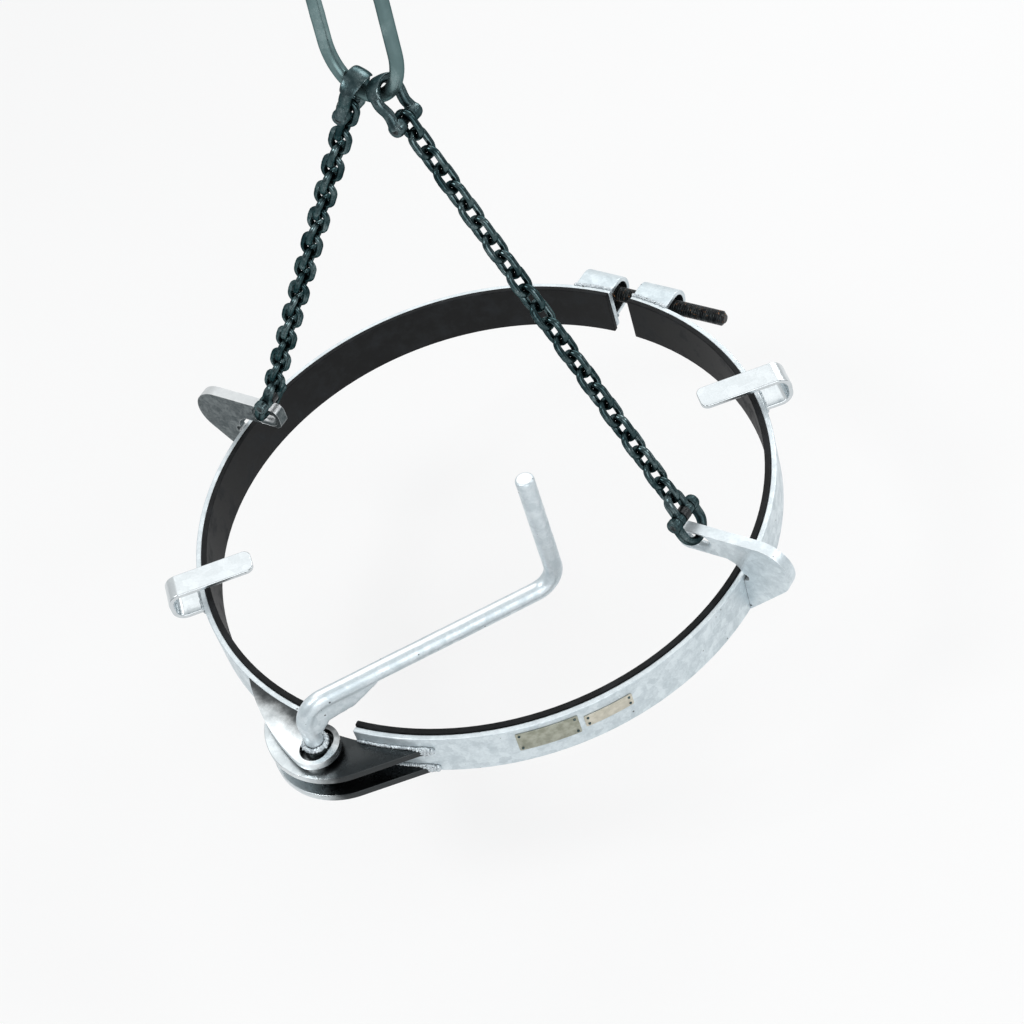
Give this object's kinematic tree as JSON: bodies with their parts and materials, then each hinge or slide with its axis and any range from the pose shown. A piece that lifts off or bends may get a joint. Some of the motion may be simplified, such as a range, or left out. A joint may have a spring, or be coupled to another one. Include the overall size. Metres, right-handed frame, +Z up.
{
  "type": "drum lifter",
  "caption": "Split steel clamp band with rubber lining, eccentric lever, adjusting spindle, lifting lugs and a chain sling on a master link, for lifting an upright drum.",
  "frame": {"origin": "on the drum axis, in the plane of the drum's rim", "axes": "+Z up the drum axis towards the crane, -Y towards the lever clamp, +Y towards the adjusting spindle, +X and -X through the lifting lugs"},
  "size_m": [0.7, 0.685, 0.7039],
  "materials": {
    "galvanised_steel": "hot-dip galvanised, mottled pale blue-grey",
    "dark_steel": "forged and oiled dark grey, smooth",
    "black_steel": "black oxide",
    "lining_rubber": "matt black"
  },
  "bodies": {
    "master": {"master_link": "dark_steel"},
    "sling": {"coupler_right": "dark_steel", "coupler_left": "dark_steel", "coupler_pin_right": "dark_steel", "coupler_pin_left": "dark_steel", "chain_right": "dark_steel", "chain_left": "dark_steel", "link_upper_right": "dark_steel", "link_upper_left": "dark_steel", "link_lower_right": "dark_steel", "link_lower_left": "dark_steel", "load_pin_right": "dark_steel", "load_pin_left": "dark_steel", "load_sleeve_right": "black_steel", "load_sleeve_left": "black_steel"},
    "right_half": {"band_right": "galvanised_steel", "lining_right": "lining_rubber", "lug_right": "galvanised_steel", "stop_finger_right": "galvanised_steel", "fork_upper_plate": "galvanised_steel", "fork_lower_plate": "galvanised_steel", "thrust_washer": "galvanised_steel", "spindle_eye_right": "galvanised_steel", "spindle_nut": "galvanised_steel", "spindle": "black_steel"},
    "lever": {"lever": "galvanised_steel", "eccentric_shaft": "galvanised_steel", "retaining_washer": "galvanised_steel", "split_pin": "dark_steel"},
    "left_half": {"band_left": "galvanised_steel", "lining_left": "lining_rubber", "lug_left": "galvanised_steel", "stop_finger_left": "galvanised_steel", "tongue_plate": "galvanised_steel", "spindle_eye_left": "galvanised_steel", "spindle_bush": "galvanised_steel"}
  },
  "joints": [
    {"name": "sling_swing", "type": "hinge", "parent": "master", "child": "sling", "pos_m": [0, 0.03918, 0.48002], "axis": [1, 0, 0], "range_deg": [-60, 60]},
    {"name": "ring_tilt", "type": "hinge", "parent": "sling", "child": "right_half", "pos_m": [0, 0, 0.0322], "axis": [1, 0, 0], "range_deg": [-20, 20]},
    {"name": "lever_turn", "type": "hinge", "parent": "right_half", "child": "lever", "pos_m": [0.002, -0.323, 0], "axis": [0, 0, 1], "range_deg": [-150, 0]},
    {"name": "band_open", "type": "hinge", "parent": "right_half", "child": "left_half", "pos_m": [-0.03017, 0.313, -0.034], "axis": [0, 0, 1], "range_deg": [-0.59, 0]}
  ],
  "couplings": [
    {"joint": "band_open", "follows": "lever_turn", "ratio": 0.003874}
  ]
}
